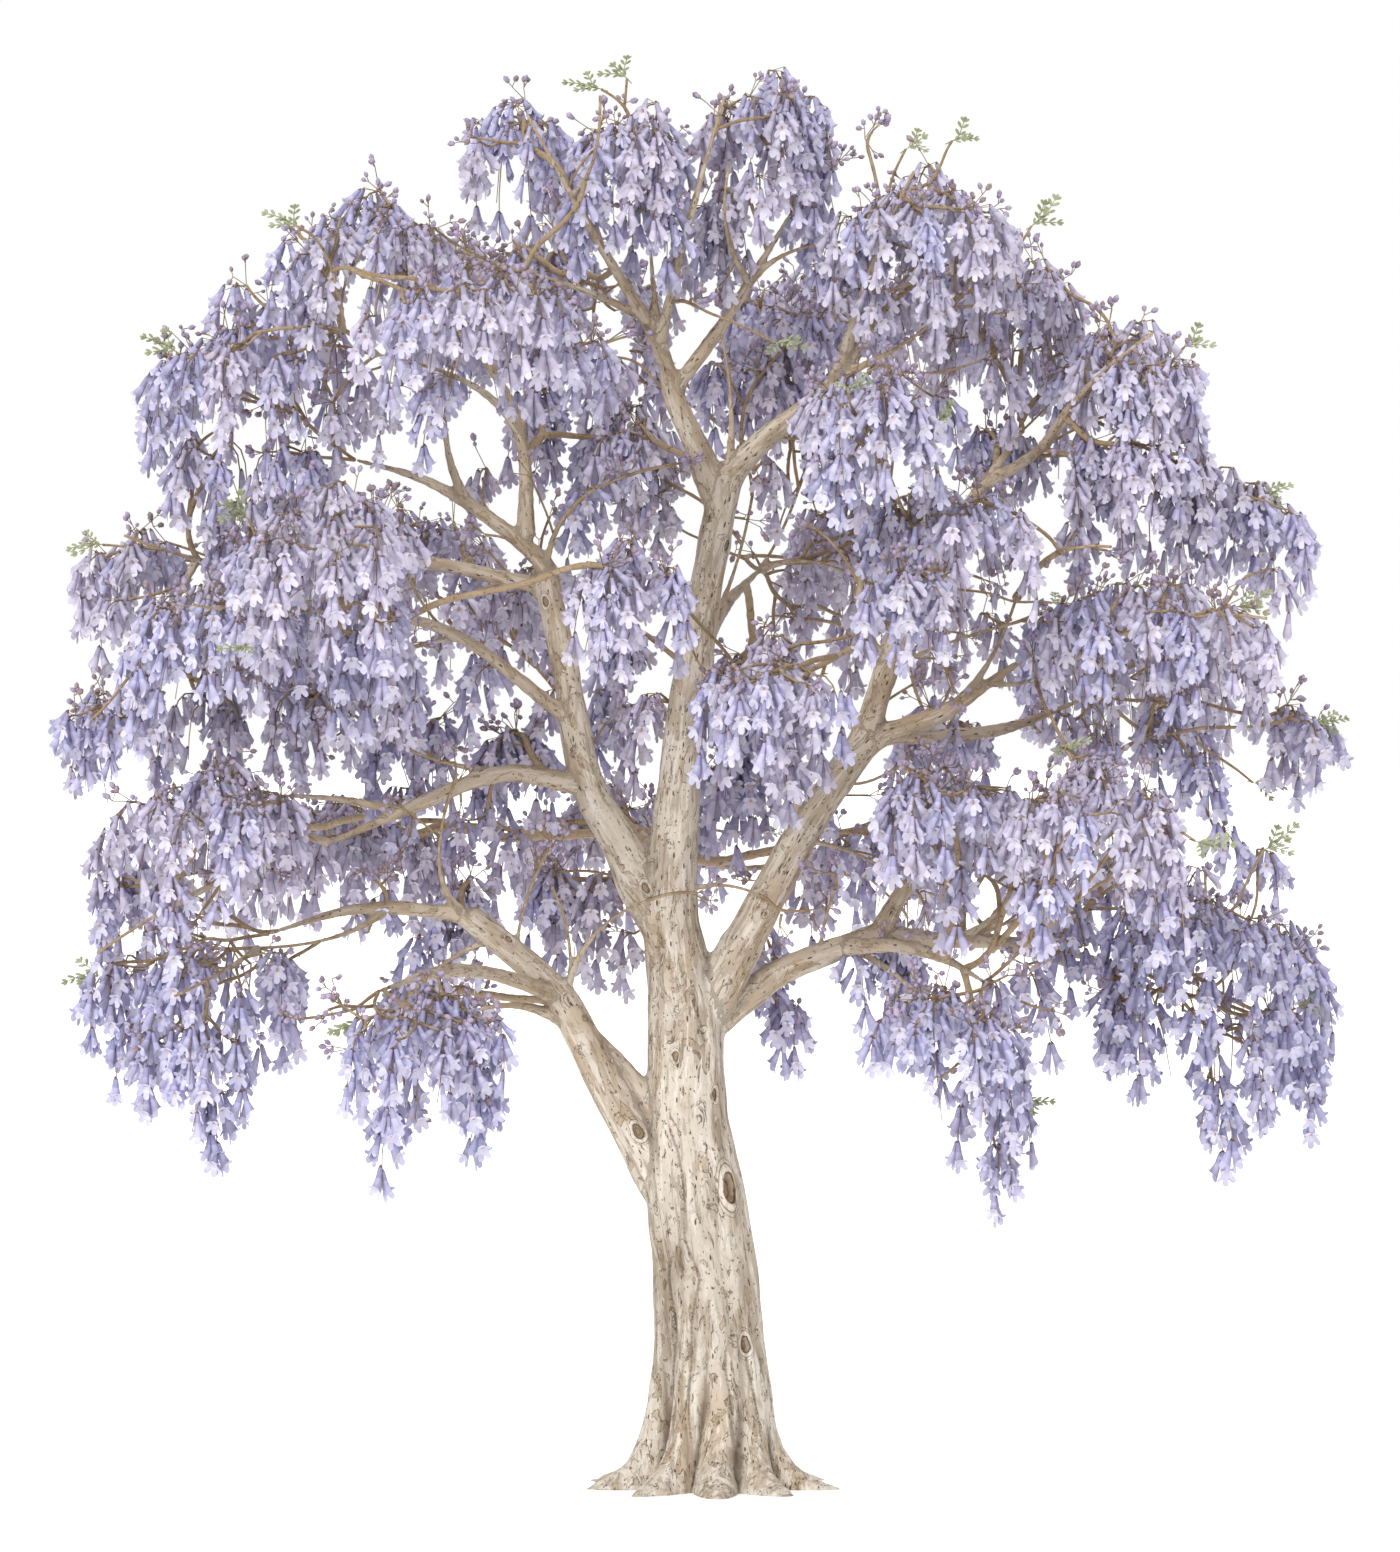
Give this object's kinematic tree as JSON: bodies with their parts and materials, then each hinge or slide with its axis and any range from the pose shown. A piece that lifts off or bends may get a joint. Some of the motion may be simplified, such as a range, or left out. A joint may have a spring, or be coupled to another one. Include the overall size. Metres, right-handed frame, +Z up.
{
  "type": "jacaranda tree",
  "caption": "Mature flowering jacaranda tree with a pale fluted trunk, open forking boughs and hanging masses of violet blossom, rooted in level ground.",
  "frame": {"origin": "middle of the flat cut under the trunk, at ground level", "axes": "+Z up along the trunk, X to the right and +Y to the back of the face that the low bough leaves to the left"},
  "size_m": [9.1733, 7.7144, 10.04],
  "materials": {
    "bark": "pale cream-beige bark, matt, lightly ridged, with brown flecks and knots",
    "blossom": "soft violet-blue petals, matt",
    "leaf": "sage-green leaflets, matt"
  },
  "bodies": {
    "root": {"trunk": "bark", "low_left_bough": "bark", "low_left_arm": "bark", "front_left_arm": "bark", "left_leader": "bark", "sweeping_arm": "bark", "left_middle_arm": "bark", "left_high_arm": "bark", "left_crown_arm": "bark", "left_riser": "bark", "crown_left": "bark", "crown_upright": "bark", "crown_right": "bark", "right_bough": "bark", "right_riser": "bark", "right_arm": "bark", "right_back_arm": "bark", "front_right_riser": "bark", "low_right_bough": "bark", "low_right_arm": "bark", "front_right_arm": "bark", "low_back_bough": "bark", "high_back_bough": "bark", "blossom_top_spire": "blossom", "blossom_top_middle": "blossom", "blossom_top_left": "blossom", "blossom_top_right": "blossom", "blossom_upper_left": "blossom", "blossom_upper_right": "blossom", "blossom_front_upper_left": "blossom", "blossom_front_upper_right": "blossom", "blossom_back_upper_left": "blossom", "blossom_back_upper_right": "blossom", "blossom_high_left": "blossom", "blossom_high_left_tip": "blossom", "blossom_high_right": "blossom", "blossom_high_right_tip": "blossom", "blossom_inner_right": "blossom", "blossom_centre_left": "blossom", "blossom_centre_right": "blossom", "blossom_front_left": "blossom", "blossom_middle_left": "blossom", "blossom_middle_left_tip": "blossom", "blossom_lower_left": "blossom", "blossom_back_middle_left": "blossom", "blossom_back_middle_right": "blossom", "blossom_middle_right": "blossom", "blossom_back_right": "blossom", "blossom_middle_right_tip": "blossom", "blossom_lower_inner_right": "blossom", "blossom_front_right": "blossom", "blossom_low_left": "blossom", "blossom_low_left_tip": "blossom", "blossom_front_low_left": "blossom", "blossom_low_right": "blossom", "blossom_low_right_tip": "blossom", "blossom_front_low_right": "blossom", "blossom_back_low_left": "blossom", "blossom_back_low_middle": "blossom", "blossom_back_low_right": "blossom"}
  },
  "joints": []
}
